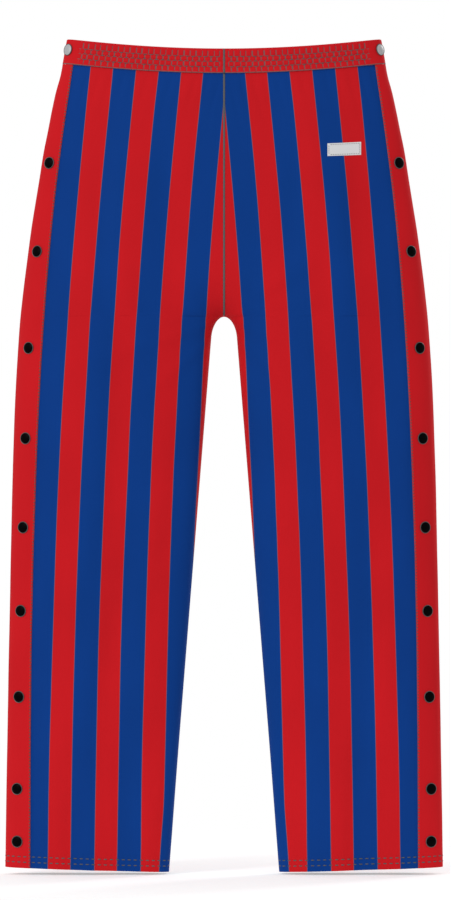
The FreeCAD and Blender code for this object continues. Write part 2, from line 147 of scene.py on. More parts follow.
def x_in(s):
    d = Z_CROTCH - s
    if d <= 0:
        return 0.0
    k = min(d / ARCH_H, 1.0)
    return ARCH_R * math.sqrt(max(0.0, 1 - (1 - k) ** 2)) + INSEAM_SLOPE * d


def x_easy(s):
    """The inseam without the tight arch, so that the rest of the cloth doesn't feel it."""
    d = max(Z_CROTCH - s, 0.0)
    return INSEAM_SLOPE * d + ARCH_R * float(smooth(0.0, 120.0, d))


INSEAM = np.array([(x_in(z), z) for z in [Z_CROTCH - ARCH_H * (1 - math.cos(math.radians(5 * k))) for k in range(19)]
                   + [Z_CROTCH - ARCH_H - 300.0]])


def inseam_gap(x, s):
    """Distance in the front view from each point to the arch and the inseam."""
    if s < Z_CROTCH - 200:
        return (x - x_in(s)) * 0.9968
    a, d = INSEAM[:-1], np.diff(INSEAM, axis=0)
    px, pz = x[:, None] - a[:, 0], s - a[:, 1][None, :]
    t = np.clip((px * d[:, 0] + pz * d[:, 1]) / (d ** 2).sum(1), 0.0, 1.0)
    return np.sqrt(((px - t * d[:, 0]) ** 2 + (pz - t * d[:, 1]) ** 2).min(1))


def crown(u):
    return np.maximum(0.0, 1 - (1 - np.clip(u, 0.0, 1.0)) ** POWER) ** (1 / POWER)


_cache = {}


def section(s):
    key = round(float(s), 3)
    if key in _cache:
        return _cache[key]
    w, b, xi = half_width(s), f_depth(s), x_in(s)
    xm, a = 0.5 * (w + xi), 0.5 * (w - xi)
    c = np.cos(np.linspace(0, math.pi, 481))
    x = xm + a * np.sign(c) * np.abs(c) ** (2 / POWER)
    if s > Z_CROTCH:
        outer, inner = a + (w - a) * float(smooth(0.0, SADDLE, s - Z_CROTCH)), CROTCH_U
    else:
        outer = 0.5 * (w - x_easy(s))
        inner = CROTCH_U + (outer - CROTCH_U) * float(smooth(0.0, LEG_U, Z_CROTCH - s))
    y = crown((w - x) / outer)
    if s < Z_CROTCH + CROTCH_U:
        y = y * crown(inseam_gap(x, s) / inner)
        if s <= Z_CROTCH:
            y[-1] = 0.0
    y = -b * y
    q = np.concatenate([[0.0], np.cumsum(np.hypot(np.diff(x), np.diff(y)))])
    _cache[key] = (q, x, y)
    return _cache[key]


def length(s):
    return float(section(s)[0][-1])


def flat_pt(s, q):
    """q > 0 runs forward from the side line, q < 0 backward."""
    sq, sx, sy = section(s)
    ln = sq[-1]
    q = np.asarray(q, float)
    aq = np.abs(q)
    over = aq > ln
    bq = np.where(over, 2 * ln - aq, aq)
    x, y = np.interp(bq, sq, sx), np.interp(bq, sq, sy)
    if s > Z_CROTCH:
        x = np.where(over, -x, x)
    else:
        y = np.where(over, -y, y)
    return x, np.where(q < 0, -y, y)


def out_dir(s, q, h=1.5):
    ax, ay = flat_pt(s, np.asarray(q) - h)
    bx, by = flat_pt(s, np.asarray(q) + h)
    tx, ty = bx - ax, by - ay
    ln = np.maximum(np.hypot(tx, ty), 1e-9)
    return -ty / ln, tx / ln


def rise(s, x):
    z = np.zeros_like(x)
    if s > -300:
        k = np.clip(x / half_width(s), 0.0, 1.0)
        z = z - WAIST_DIP * (1 - k * k) * float(smooth(-290, -31.5, s))
    if s < -900:
        xo, xi = half_width(s), x_in(s)
        k = np.clip((x - xi) / (xo - xi), 0.0, 1.0)
        z = z - HEM_DROP * (1 - k) * float(smooth(-900, -OUTSEAM, s))
    return z


def row(s, q, off):
    """Points of one level, in mm, on the wearer's left."""
    q = np.asarray(q, float)
    x, y = flat_pt(s, q)
    nx, ny = out_dir(s, q)
    return np.stack([np.maximum(x + nx * off, 0.0), y + ny * off, s + rise(s, x)], -1)


def q_of_x(s, x):
    sq, sx, _ = section(s)
    return float(np.interp(-x, -sx, sq))


def q_sewn(s):
    return q_of_x(s, f_sewn(s))


def stripe_coord(s, x):
    """0..8 across the panel, whole numbers on the printed edges."""
    xs = [f_sewn(s)] + [f(s) for f in f_stripe]
    xs.append(xs[-1] - 29.0)
    return np.interp(-x, [-v for v in xs], range(9)) + np.where(x > xs[0], -(x - xs[0]) / 30.0, 0.0)


# ------------------------------------------------------------------ meshes
SIDES = {"left": 1.0, "right": -1.0}


def grid_faces(n, m, base, flip):
    i, j = np.meshgrid(np.arange(n - 1), np.arange(m - 1), indexing="ij")
    a = base + i * m + j
    f = np.stack([a, a + 1, a + m + 1, a + m], -1).reshape(-1, 4)
    return f[:, ::-1] if flip else f


def shell_mesh(name, outer, inner, attrs, sharp=50):
    """outer and inner are (rows, columns, 3) in mm. attrs: name -> (rows, columns), shared by both faces."""
    n, m, _ = outer.shape
    a, b, c = outer[0, 0], outer[min(4, n - 1), 0], outer[0, min(4, m - 1)]
    i, j = n // 2, m // 2
    nrm = np.cross(outer[i + 1, j] - outer[i, j], outer[i, j + 1] - outer[i, j])
    flip = nrm.dot(outer[i, j] - inner[i, j]) < 0        # the quads run down, then across
    verts = np.concatenate([outer.reshape(-1, 3), inner.reshape(-1, 3)]) / 1000.0
    off = n * m
    fo = grid_faces(n, m, 0, not flip)
    fi = grid_faces(n, m, off, flip)
    side = []
    ring = ([(0, j) for j in range(m)] + [(i, m - 1) for i in range(1, n)]
            + [(n - 1, j) for j in range(m - 2, -1, -1)] + [(i, 0) for i in range(n - 2, 0, -1)])
    ids = [r * m + k for r, k in ring]
    for p, r in zip(ids, ids[1:] + ids[:1]):
        side.append((p, p + off, r + off, r) if not flip else (r, r + off, p + off, p))
    faces = np.concatenate([fo, fi, np.array(side)])
    me = bpy.data.meshes.new(name)
    me.vertices.add(len(verts))
    me.vertices.foreach_set("co", verts.astype(np.float32).ravel())
    me.loops.add(len(faces) * 4)
    me.loops.foreach_set("vertex_index", faces.astype(np.int32).ravel())
    me.polygons.add(len(faces))
    me.polygons.foreach_set("loop_start", np.arange(0, len(faces) * 4, 4, dtype=np.int32))
    me.update(calc_edges=True)
    me.validate()
    for key, val in attrs.items():
        att = me.attributes.new(key, "FLOAT", "POINT")
        att.data.foreach_set("value", np.tile(np.asarray(val, np.float32).ravel(), 2))
    face = me.attributes.new("inside", "FLOAT", "POINT")
    face.data.foreach_set("value", np.concatenate([np.zeros(off), np.ones(off)]).astype(np.float32))
    ob = bpy.data.objects.new(name, me)
    bpy.context.scene.collection.objects.link(ob)
    me.shade_smooth()
    me.set_sharp_from_angle(angle=math.radians(sharp))
    return ob


def mirror(a):
    b = a.copy()
    b[..., 0] *= -1
    return b


def cloth_uv(ob, q, s):
    """A UV map in metres of cloth, for the knit."""
    me = ob.data
    uv = me.uv_layers.new(name="cloth")
    q2, s2 = np.tile(np.asarray(q).ravel(), 2), np.tile(np.asarray(s).ravel(), 2)
    idx = np.empty(len(me.loops), np.int32)
    me.loops.foreach_get("vertex_index", idx)
    uv.data.foreach_set("uv", np.stack([q2[idx], s2[idx]], -1).astype(np.float32).ravel() / 1000.0)


def side_column(j):
    return 0.25 * j + 0.75 * (0.5 - 0.5 * np.cos(math.pi * j))


# ------------------------------------------------------------------ folds of the hanging cloth
def folds(s, k, seed, leg_len=1.0):
    """Displacement in mm. k is 0 at the side and 1 at the centre seam or inseam."""
    hold = np.sin(math.pi * np.clip(k, 0, 1)) ** 0.8
    down = smooth(-40, -230, s) * 0.75 + 0.25
    a = seed * 1.7
    d = 2.9 * np.sin(2 * math.pi * (k * 1.6 + 0.22 * math.sin(s / 310.0 + a) + 0.13 * a))
    d = d + 1.5 * np.sin(2 * math.pi * (k * 3.3 + 0.35 * math.sin(s / 190.0 + 2.1 * a) + 0.31 * a))
    d = d + 0.5 * np.sin(2 * math.pi * (k * 6.1 + 0.5 * math.sin(s / 120.0 + 0.7 * a)))
    d = d * hold * down
    # drag lines that fan out from the crotch
    dx, dz = (1 - k) * 250.0, s - Z_CROTCH
    r = np.hypot(dx, dz) + 1e-6
    ang = np.arctan2(dz, dx)
    for c, amp, wid in ((0.62, 2.2, 0.10), (0.22, 1.8, 0.09), (-0.35, 1.6, 0.10), (-0.85, 1.3, 0.10)):
        d = d + amp * np.exp(-((ang - c) / wid) ** 2) * np.exp(-((r - 90.0) / 65.0) ** 2)
    # knee: cloth breaks a little where it has been bent
    for z0, amp in ((-585.0, 0.9), (-640.0, 1.1), (-690.0, 0.8)):
        zz = s - z0 - 26.0 * np.sin(3.0 * k + a)
        d = d + amp * np.exp(-(zz / 17.0) ** 2) * hold
    return d


def gathers(s, q, d):
    """Small pleats that the elastic throws just below the waistband."""
    below = -BAND_H - s
    if below < -2 or below > 95:
        return d
    fade = math.exp(-max(below, 0.0) / 30.0)
    return d + 0.75 * fade * (np.sin(2 * math.pi * q / 15.4) + 0.5 * np.sin(2 * math.pi * q / 7.7 + 1.0))


# ------------------------------------------------------------------ materials
def material(name):
    m = bpy.data.materials.new(name)
    m.use_nodes = True
    nt = m.node_tree
    bsdf = nt.nodes["Principled BSDF"]
    return m, nt, bsdf


def node(nt, kind, **vals):
    n = nt.nodes.new(kind)
    for k, v in vals.items():
        if k.startswith("in_"):
            n.inputs[int(k[3:])].default_value = v
        else:
            setattr(n, k, v)
    return n


def math_node(nt, op, a, b=None, c=None, clamp=False):
    n = nt.nodes.new("ShaderNodeMath")
    n.operation, n.use_clamp = op, clamp
    for i, v in enumerate((a, b, c)):
        if v is None:
            continue
        if isinstance(v, (int, float)):
            n.inputs[i].default_value = v
        else:
            nt.links.new(v, n.inputs[i])
    return n.outputs[0]


def mix_col(nt, fac, a, b, mode="MIX"):
    n = nt.nodes.new("ShaderNodeMix")
    n.data_type, n.blend_type = "RGBA", mode
    for sock, v in ((n.inputs["Factor"], fac), (n.inputs["A"], a), (n.inputs["B"], b)):
        if isinstance(v, (int, float)):
            sock.default_value = v
        elif isinstance(v, tuple):
            sock.default_value = v if len(v) == 4 else v + (1.0,)
        else:
            nt.links.new(v, sock)
    return n.outputs["Result"]


def ramp(nt, v, a, b):
    """0 at a, 1 at b."""
    n = nt.nodes.new("ShaderNodeMapRange")
    n.interpolation_type = "SMOOTHSTEP"
    nt.links.new(v, n.inputs["Value"])
    lo, hi, f0, f1 = (a, b, 0.0, 1.0) if a < b else (b, a, 1.0, 0.0)
    n.inputs["From Min"].default_value, n.inputs["From Max"].default_value = lo, hi
    n.inputs["To Min"].default_value, n.inputs["To Max"].default_value = f0, f1
    return n.outputs[0]


def attribute(nt, name):
    n = nt.nodes.new("ShaderNodeAttribute")
    n.attribute_name = name
    return n.outputs["Fac"]


def knit_bump(nt, bsdf, strength=0.25, wale=0.0014):
    """Vertical wales of small loops, from the cloth's own coordinates."""
    uv = node(nt, "ShaderNodeUVMap", uv_map="cloth").outputs[0]
    sep = nt.nodes.new("ShaderNodeSeparateXYZ")
    nt.links.new(uv, sep.inputs[0])
    u = math_node(nt, "MULTIPLY", sep.outputs[0], 1.0 / wale)
    v = math_node(nt, "MULTIPLY", sep.outputs[1], 1.0 / (wale * 0.8))
    fu = math_node(nt, "PINGPONG", u, 0.5)
    skew = math_node(nt, "MULTIPLY_ADD", fu, 1.0, v)
    loop = math_node(nt, "PINGPONG", skew, 0.5)
    prof = math_node(nt, "MULTIPLY", math_node(nt, "SINE", math_node(nt, "MULTIPLY", fu, math.pi)),
                     math_node(nt, "MULTIPLY_ADD", loop, 0.8, 0.6))
    noise = node(nt, "ShaderNodeTexNoise")
    noise.inputs["Scale"].default_value = 260.0
    noise.inputs["Detail"].default_value = 3.0
    nt.links.new(uv, noise.inputs["Vector"])
    hgt = math_node(nt, "MULTIPLY_ADD", noise.outputs["Fac"], 0.35, prof)
    bump = nt.nodes.new("ShaderNodeBump")
    bump.inputs["Strength"].default_value = strength
    bump.inputs["Distance"].default_value = 0.0004
    nt.links.new(hgt, bump.inputs["Height"])
    nt.links.new(bump.outputs[0], bsdf.inputs["Normal"])
    return uv, prof


def dye_and_wale_shade(nt, uv, col, prof, amount=0.10):
    """Slow unevenness of dye, and painted shade between the wales."""
    big = node(nt, "ShaderNodeTexNoise")
    big.inputs["Scale"].default_value = 9.0
    big.inputs["Detail"].default_value = 4.0
    nt.links.new(uv, big.inputs["Vector"])
    k = math_node(nt, "MULTIPLY_ADD", big.outputs["Fac"], amount * 2, 1.0 - amount)
    # painted shade: the colour is darkened between the wales, where the knit profile is low
    k = math_node(nt, "MULTIPLY", k, math_node(nt, "MULTIPLY_ADD", prof, 0.12, 0.92))
    comb = nt.nodes.new("ShaderNodeCombineColor")
    for i in range(3):
        nt.links.new(k, comb.inputs[i])
    return mix_col(nt, 1.0, col, comb.outputs[0], "MULTIPLY")


def fabric(name, colour):
    m, nt, bsdf = material(name)
    uv, prof = knit_bump(nt, bsdf)
    col = colour(nt)
    inside = attribute(nt, "inside")
    col = mix_col(nt, math_node(nt, "MULTIPLY", inside, 0.25), col, (0.62, 0.60, 0.60))
    nt.links.new(dye_and_wale_shade(nt, uv, col, prof), bsdf.inputs["Base Color"])
    bsdf.inputs["Roughness"].default_value = 0.78
    bsdf.inputs["Specular IOR Level"].default_value = 0.06
    bsdf.inputs["Sheen Weight"].default_value = 0.015
    bsdf.inputs["Sheen Roughness"].default_value = 0.45
    return m


def striped(nt):
    st = attribute(nt, "stripe")
    odd = math_node(nt, "GREATER_THAN", math_node(nt, "MODULO", math_node(nt, "ADD", st, 20.0), 2.0), 1.0)
    col = mix_col(nt, odd, BLUE, RED)
    # a hairline of grey between two printed stripes
    edge = math_node(nt, "ABSOLUTE", math_node(nt, "SUBTRACT", st, math_node(nt, "ROUND", st)))
    line = math_node(nt, "LESS_THAN", edge, 0.016)
    line = math_node(nt, "MULTIPLY", line, 0.55)
    return mix_col(nt, line, col, (0.12, 0.11, 0.12))


def plain_red(nt):
    return mix_col(nt, 0.0, RED, RED)


def band_red(nt):
    """Red knit with a grey shadow line in every crease of the gathers, in four rows, and along the lower edge."""
    pleat, h = attribute(nt, "pleat"), attribute(nt, "height")
    odd = math_node(nt, "MULTIPLY", math_node(nt, "GREATER_THAN", h, 0.25), math_node(nt, "LESS_THAN", h, 0.47))
    odd = math_node(nt, "ADD", odd, math_node(nt, "GREATER_THAN", h, 0.66))
    ph = math_node(nt, "FRACT", math_node(nt, "MULTIPLY_ADD", odd, 0.5, pleat))
    away = math_node(nt, "MULTIPLY", math_node(nt, "ABSOLUTE", math_node(nt, "SUBTRACT", ph, 0.5)), PUCKER)
    k = ramp(nt, away, 0.85, 0.45)
    for row_h, half in ((0.25, 0.02), (0.47, 0.02), (0.66, 0.02)):
        near = math_node(nt, "ABSOLUTE", math_node(nt, "SUBTRACT", h, row_h))
        k = math_node(nt, "MULTIPLY", k, ramp(nt, near, half * 0.6, half * 1.4))
    k = math_node(nt, "MULTIPLY", k, ramp(nt, h, 0.055, 0.085))
    k = math_node(nt, "MULTIPLY", k, ramp(nt, h, 0.93, 0.88))
    k = math_node(nt, "MULTIPLY", k, attribute(nt, "casing"))
    low = math_node(nt, "MULTIPLY", ramp(nt, h, 0.042, 0.034), math_node(nt, "GREATER_THAN", h, -0.5))
    k = math_node(nt, "MAXIMUM", math_node(nt, "MULTIPLY", k, 0.86), math_node(nt, "MULTIPLY", low, 0.8), clamp=True)
    return mix_col(nt, k, RED, (0.115, 0.10, 0.10))


def plain(name, col, rough, metal=0.0, coat=0.0, spec=0.4, noise=(400.0, 0.06), bump=0.03):
    m, nt, bsdf = material(name)
    tc = nt.nodes.new("ShaderNodeTexCoord")
    nz = node(nt, "ShaderNodeTexNoise")
    nz.inputs["Scale"].default_value = noise[0]
    nz.inputs["Detail"].default_value = 4.0
    nt.links.new(tc.outputs["Object"], nz.inputs["Vector"])
    k = math_node(nt, "MULTIPLY_ADD", nz.outputs["Fac"], noise[1] * 2, 1.0 - noise[1])
    comb = nt.nodes.new("ShaderNodeCombineColor")
    for i in range(3):
        nt.links.new(k, comb.inputs[i])
    nt.links.new(mix_col(nt, 1.0, col, comb.outputs[0], "MULTIPLY"), bsdf.inputs["Base Color"])
    r = math_node(nt, "MULTIPLY_ADD", nz.outputs["Fac"], 0.12, rough - 0.06)
    nt.links.new(r, bsdf.inputs["Roughness"])
    bsdf.inputs["Metallic"].default_value = metal
    bsdf.inputs["Specular IOR Level"].default_value = spec
    if coat:
        bsdf.inputs["Coat Weight"].default_value = coat
        bsdf.inputs["Coat Roughness"].default_value = 0.15
    bp = nt.nodes.new("ShaderNodeBump")
    bp.inputs["Strength"].default_value = bump
    bp.inputs["Distance"].default_value = 0.0002
    nt.links.new(nz.outputs["Fac"], bp.inputs["Height"])
    nt.links.new(bp.outputs[0], bsdf.inputs["Normal"])
    return m


M_STRIPE = fabric("striped_knit", striped)
M_RED = fabric("red_knit", plain_red)
M_BAND = fabric("gathered_red_knit", band_red)
M_THREAD = plain("grey_thread", THREAD, 0.7, noise=(900.0, 0.2), bump=0.4)
M_BLACK = plain("black_enamel", (0.0008, 0.0008, 0.0009), 0.42, spec=0.025, coat=0.0)
M_NICKEL = plain("nickel", (0.50, 0.50, 0.51), 0.34, metal=1.0)
M_RIM = plain("dark_nickel_rim", (0.085, 0.083, 0.083), 0.45, metal=0.6)
M_SATIN = plain("satin_nickel", (0.42, 0.42, 0.43), 0.5, metal=0.35)
M_ELASTIC = plain("elastic_webbing", (0.70, 0.69, 0.66), 0.85, noise=(700.0, 0.15), bump=0.3)
M_LABEL = plain("woven_label", (0.66, 0.66, 0.67), 0.6, noise=(1500.0, 0.10), bump=0.3)
M_CARE = plain("satin_tape", (0.80, 0.80, 0.78), 0.5, noise=(900.0, 0.05), bump=0.2)

# ------------------------------------------------------------------ panels
STEP = 5.0


def down(top, bottom, step, extra=()):
    n = max(2, int(round((top - bottom) / step)) + 1)
    return sorted(set(list(np.round(np.linspace(top, bottom, n), 3)) + list(extra)), reverse=True)


def crotch_rows():
    out = [Z_CROTCH + CROTCH_U * (1 - math.cos(math.radians(a))) for a in range(4, 90, 7)]
    out += [Z_CROTCH] + [Z_CROTCH - ARCH_H * (1 - math.cos(math.radians(a))) for a in range(8, 91, 9)]
    return [round(v, 3) for v in out]


ROWS = [s for s in down(-36.0, -OUTSEAM, STEP) if not Z_CROTCH - 27 < s < Z_CROTCH + 92]
ROWS = sorted(set(ROWS + crotch_rows() + [-OUTSEAM + 21, -OUTSEAM + 19.5, -OUTSEAM + 1.0]), reverse=True)
NCOL = 84


def panel_grid(front, seed):
    """Outer and inner face of one panel on the wearer's left."""
    j = np.linspace(0, 1, NCOL)
    cols = side_column(j)
    outs, ins, st, qq, ss = [], [], [], [], []
    first = True
    for s in [-29.0, -31.0] + ROWS:
        ln = length(s)
        q0 = (q_sewn(s) - LAP) if front else Q_BACK
        q1 = ln if front else -ln
        q = q0 + (q1 - q0) * cols
        if s > -36:
            # the top edge stands inside the casing and dips under the flat tab at the side
            sv = s - 2.8 * smooth(0.18, 0.06, cols)
        else:
            sv = None
        k = np.clip(np.abs(q) / (ln + x_in(s) - x_easy(s)), 0.0, 1.0)
        d = folds(s, k, seed) * np.sin(math.pi * cols) ** 0.3
        d = gathers(s, np.abs(q), d) if s < -33 else d * 0
        d = d * smooth(-33, -48, s)
        lap = smooth(0.0, 0.10, cols)                     # the edge under the placket stays put
        d = d * lap * smooth(1.0, 0.93, cols)
        if front:
            d = np.maximum(d, -4.5)
        p = row(s, q, d)
        if sv is not None:
            p[:, 2] += sv - s
        x = flat_pt(s, q)[0]
        nx, ny = out_dir(s, q)
        t = T_PANEL + (T_HEM - T_PANEL) * float(smooth(-OUTSEAM + HEM_H + 2, -OUTSEAM + HEM_H, s))
        outs.append(p)
        st.append(stripe_coord(s, x))
        qq.append(np.abs(q))
        ss.append(np.full(NCOL, s))
        ins.append(t)
    outer = np.array(outs)
    # inner face along the true normal, kept on the seam's own plane at the seam
    gi = np.gradient(outer, axis=0)
    gj = np.gradient(outer, axis=1)
    nrm = np.cross(gi, gj)
    if nrm[len(outs) // 4, NCOL // 2, 1] * (-1 if front else 1) < 0:
        nrm = -nrm
    levels = [-29.0, -31.0] + ROWS
    for i, s in enumerate(levels):
        if s > Z_CROTCH + 1e-6:
            nrm[i, -1, 0] = 0
        elif s < Z_CROTCH - 1e-6:
            nrm[i, -1, 1] = 0
        else:
            nrm[i, -1] = (0, 0, -1)
    nrm /= np.maximum(np.linalg.norm(nrm, axis=2, keepdims=True), 1e-9)
    inner = outer - nrm * np.array(ins)[:, None, None]
    inner[..., 0] = np.maximum(inner[..., 0], 0.0)
    inner[0, :, 2], inner[-1, :, 2] = outer[0, :, 2], outer[-1, :, 2]
    return outer, inner, np.array(st), np.array(qq), np.array(ss)


def leg_blend(ob):
    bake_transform(ob)


def flap_blend(ob):
    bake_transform(ob)


def put(ob, mat, slot, *nodes):
    ob.data.materials.append(mat)
    if nodes:
        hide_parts(*nodes)
    return ob


def cut_size(levels, q_from, q_to, extra=0.0):
    """Widest cut, its length and its area, in metres. extra is what is folded up or in."""
    wid = np.array([abs(q_to(s) - q_from(s)) for s in levels])
    lv = np.array(levels)
    run = float(lv[0] - lv[-1]) + extra
    area = float(np.sum(0.5 * (wid[1:] + wid[:-1]) * -np.diff(lv))) + extra * float(wid[-1])
    return (float(wid.max()) / 1000.0, run / 1000.0), area / 1e6


PANELS = {}
for side, sg in SIDES.items():
    for front in (True, False):
        seed = {(True, 1.0): 1.0, (True, -1.0): 2.3, (False, 1.0): 3.1, (False, -1.0): 4.2}[(front, sg)]
        o, i, st, qq, ss = panel_grid(front, seed)
        PANELS[(side, front)] = (o, qq, ss)
        if sg < 0:
            o, i = mirror(o), mirror(i)
        nm = "%s_panel_%s" % ("front" if front else "back", side)
        ob = shell_mesh(nm, o, i, {"stripe": st})
        cloth_uv(ob, qq, ss)
        put(ob, M_STRIPE, "blue_knit", nm + "_hip", nm + "_leg")
        flat, area_m2 = cut_size([-29.0, -31.0] + ROWS, (lambda s: q_sewn(s) - LAP) if front else (lambda s: -Q_BACK),
                                 length, HEM_H)
        if front:
            flap_blend(ob)
        else:
            leg_blend(ob)

# ------------------------------------------------------------------ plackets
PROWS = down(-31.7, -OUTSEAM, STEP)
PCOL = 22


def placket_grid(front, seed):
    e = np.linspace(0, 1, PCOL)
    cols = np.concatenate([[0.0, 0.012], 0.03 + 0.94 * e, [0.988, 1.0]])
    soft = np.concatenate([[0.55, 0.15], np.zeros(PCOL), [0.15, 0.55]])        # rolled edges
    outs, ins, qq, ss = [], [], [], []
    for s in PROWS:
        if front:
            q0, q1, oo, oi = Q_FREE, q_sewn(s), 0.05 + T_PLACKET, 0.05
        else:
            oo = OFF_UNDER - (T_HEM - T_PANEL) * float(smooth(-OUTSEAM + HEM_H + 2, -OUTSEAM + HEM_H, s))
            q0, q1, oi = Q_SEWN, min(q_sewn(s) - UNDER_IN, 36.0), oo - T_PLACKET
        q = q0 + (q1 - q0) * cols
        wav = 0.22 * np.sin(s / 23.0 + seed) * np.sin(math.pi * cols)
        if front:
            # the placket puckers a little between snaps and lies flat at each
            near = min(abs(s - z) for z in SNAP_Z + [-13.5])
            wav = wav + 0.35 * float(smooth(9.0, 40.0, near)) * np.sin(math.pi * cols) ** 2
            wav = np.maximum(wav, 0.0)
        else:
            wav = -np.abs(wav)
        outs.append(row(s, q, oo - soft + wav))
        ins.append(row(s, q, oi + soft * 0.6 + wav * 0.6))
        qq.append(q)
        ss.append(np.full(len(q), s))
    return np.array(outs), np.array(ins), np.array(qq), np.array(ss)


for side, sg in SIDES.items():
    for front in (True, False):
        o, i, qq, ss = placket_grid(front, sg)
        if sg < 0:
            o, i = mirror(o), mirror(i)
        nm = "%s_placket_%s" % ("front" if front else "back", side)
        ob = shell_mesh(nm, o, i, {"stripe": qq * 0})
        cloth_uv(ob, qq, ss)
        put(ob, M_RED, "red_knit", nm + "_hip", nm + "_leg")
        flat, area_m2 = cut_size(PROWS, (lambda s: Q_FREE) if front else (lambda s: Q_SEWN),
                                 q_sewn if front else (lambda s: min(q_sewn(s) - UNDER_IN, 36.0)))
        if front:
            flap_blend(ob)
        else:
            leg_blend(ob)

# ------------------------------------------------------------------ waistband
BAND_ROWS = (0.0, 0.25, 0.47, 0.66, 1.0)           # bottom, three stitch rows, top (share of the height)


def band_profile(front, q):
    if front:
        k = smooth(q_sewn(-15.0) - 1.0, q_sewn(-15.0) + 16.0, q)
        return 2.2 + (1.5 - 2.2) * k, 0.1 + (-3.6 - 0.1) * k, 0.85 + (T_BAND - 0.85) * k, k
    k = smooth(-14.0, -30.0, q)
    return -1.75 + (1.5 + 1.75) * k, -3.85 + (-3.6 + 3.85) * k, 0.85 + (T_BAND - 0.85) * k, k


def band_relief(h, q, k):
    """Puffs between the stitch rows and sharp creases between the puffs. h is the share of the height."""
    r = max(i for i in range(4) if h >= BAND_ROWS[i] - 1e-9)
    lo, hi = BAND_ROWS[r], BAND_ROWS[r + 1]
    t = min(max((h - lo) / (hi - lo), 0.0), 1.0)
    env = math.sin(math.pi * t) if r < 3 else math.sin(math.pi * min(t * 0.85 + 0.02, 1.0))
    if r == 0:
        env = math.sin(math.pi * min(0.25 + t * 0.75, 1.0))
    env = max(env, 0.0)
    ph = pleat_count(q) + (0.5 if r % 2 else 0.0)
    c = np.abs(ph - np.floor(ph) - 0.5) * PUCKER       # distance from the crease
    crease = np.exp(-(c / 0.95) ** 2)
    puff = 0.85 * env * (1 - crease) - 0.5 * (1 - env)
    return puff * k


def pleat_count(q):
    q = np.abs(q)
    return (q + 0.45 * np.sin(q * 0.37) + 0.25 * np.sin(q * 0.91)) / PUCKER


def band_grid(front):
    w = 0.8
    s_ref = -15.0
    q_a = Q_FREE if front else -length(s_ref)
    q_b = length(s_ref) if front else q_sewn(s_ref) - 4.5
    ncol = int(abs(q_b - q_a) / w)
    f = np.linspace(0, 1, ncol)
    qr = q_a + (q_b - q_a) * f
    oo, oi, th, k = band_profile(front, qr)
    r, mid = 0.5 * (oo - oi), 0.5 * (oo + oi)
    nh = 38
    steps = [("o", a) for a in np.linspace(0, 1, nh)[:-1]] + [("f", a) for a in np.linspace(0, 180, 9)] \
        + [("i", a) for a in np.linspace(1, 0, 10)[1:]]
    outs, ins, cr, pl, ca, qq, ss = [], [], [], [], [], [], []
    for kind, a in steps:
        faces = []
        for rr in (r, r - th):
            if kind == "o":
                s, off = -BAND_H + (BAND_H - r) * a, mid + rr
            elif kind == "i":
                s, off = -BAND_H + (BAND_H - r) * a, mid - rr
            else:
                an = math.radians(a)
                s, off = -r + rr * math.sin(an), mid + rr * math.cos(an)
            faces.append((s, off))
        (s_o, off_o), (s_i, off_i) = faces
        s_nom = float(np.mean(s_o))
        h = 1 + s_nom / BAND_H
        relief = band_relief(min(max(h, 0.0), 1.0), qr, k)
        relief = relief * smooth(0.5, 3.5, length(s_ref) - np.abs(qr))       # flat at the centre join
        if kind == "f":
            relief = relief * max(math.cos(math.radians(a)), 0.0)
        elif kind == "i":
            relief = relief * 0
        # columns keep one share of each level's own arc
        s_lv = round(s_nom, 1)
        qa = Q_FREE if front else -length(s_lv)
        qb = length(s_lv) if front else q_sewn(s_lv) - 4.5
        q = qa + (qb - qa) * f
        po, pi = row(s_lv, q, off_o + relief), row(s_lv, q, off_i + relief * 0.4)
        x = flat_pt(s_lv, q)[0]
        dip = rise(s_lv, x)
        po[:, 2], pi[:, 2] = s_o + dip, s_i + dip
        outs.append(po)
        ins.append(pi)
        cr.append(np.full(ncol, h if kind == "o" else 1.2))
        pl.append(pleat_count(qr))
        ca.append((k > 0.5) * (length(s_ref) - np.abs(qr) > 2.0) * 1.0)
        qq.append(q)
        ss.append(np.full(ncol, s_lv) if kind == "o" else np.full(ncol, -s_lv))
    marks = {"height": np.array(cr), "pleat": np.array(pl), "casing": np.array(ca)}
    return np.array(outs), np.array(ins), marks, np.array(qq), np.array(ss)


BAND = {}
for front in (True, False):
    o, i, marks, qq, ss = band_grid(front)
    for side, sg in SIDES.items():
        nm = "%s_waistband_%s" % ("front" if front else "back", side)
        oo, ii = (o, i) if sg > 0 else (mirror(o), mirror(i))
        ob = shell_mesh(nm, oo, ii, marks)
        cloth_uv(ob, qq, ss)
        put(ob, M_BAND, "waistband_knit", nm)
        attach(ob, "front_flap" if front else "pants_body")

for n, mat in (("front_elastic", M_ELASTIC), ("back_elastic", M_ELASTIC)):
    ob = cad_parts[n]
    ob.data.materials.clear()
    ob.data.materials.append(mat)


